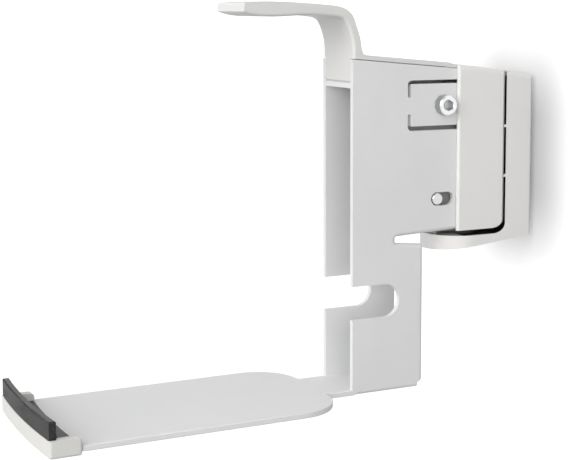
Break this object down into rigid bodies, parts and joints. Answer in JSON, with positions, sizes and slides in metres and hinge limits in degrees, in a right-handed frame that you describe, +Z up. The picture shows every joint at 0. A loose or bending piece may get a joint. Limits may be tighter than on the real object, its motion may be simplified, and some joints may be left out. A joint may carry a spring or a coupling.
{
  "type": "speaker wall bracket",
  "caption": "White wall bracket that holds a loudspeaker on a lipped shelf under a top hook, with a folded steel frame that tilts on a clamp screw and a knuckle that swivels at the wall",
  "frame": {"origin": "middle of the wall plate's four screw holes, on the wall face", "axes": "+Y into the wall, +Z up, +X to the side where the clamp screw's head is; the shelf reaches out along -Y"},
  "size_m": [0.09, 0.2905, 0.2147],
  "materials": {
    "housing_white": "satin warm white paint on a casting",
    "cover_white": "matt warm white moulding",
    "hook_white": "matt warm white moulding",
    "lip_white": "matt warm white moulding",
    "frame_paint": "fine matt white powder coat",
    "pad_rubber": "matt black rubber",
    "bright_steel": "bright plated steel",
    "screw_zinc": "zinc plated",
    "plate_zinc": "zinc plated sheet",
    "pin_steel": "ground steel",
    "block_dark": "black coated die casting",
    "bush_brass": "plain brass",
    "washer_dark": "dark friction material"
  },
  "bodies": {
    "wall": {"wall_housing": "housing_white", "wall_plate": "plate_zinc", "housing_screws": "screw_zinc", "swivel_pin": "pin_steel", "swivel_stop": "pin_steel", "arm_washer": "washer_dark", "swivel_nut": "screw_zinc"},
    "swivel": {"swivel_block": "block_dark", "lower_bush": "bush_brass", "upper_bush": "bush_brass", "disc_springs": "pin_steel", "knuckle_cover": "cover_white", "cover_screws": "screw_zinc", "tilt_guide_pin": "bright_steel", "friction_washers": "washer_dark"},
    "frame": {"folded_frame": "frame_paint", "top_bridge": "frame_paint", "top_hook": "hook_white", "hook_screws": "screw_zinc", "tilt_screw": "bright_steel", "tilt_washer": "bright_steel", "tilt_nut": "bright_steel", "front_lip": "lip_white", "lip_pad": "pad_rubber", "lip_screws": "screw_zinc"}
  },
  "joints": [
    {"name": "swivel", "type": "hinge", "parent": "wall", "child": "swivel", "pos_m": [0, -0.0395, 0], "axis": [0, 0, 1], "range_deg": [-20, 20]},
    {"name": "tilt", "type": "hinge", "parent": "swivel", "child": "frame", "pos_m": [0, -0.0588, 0.0293], "axis": [-1, 0, 0], "range_deg": [0, 6.5]}
  ]
}
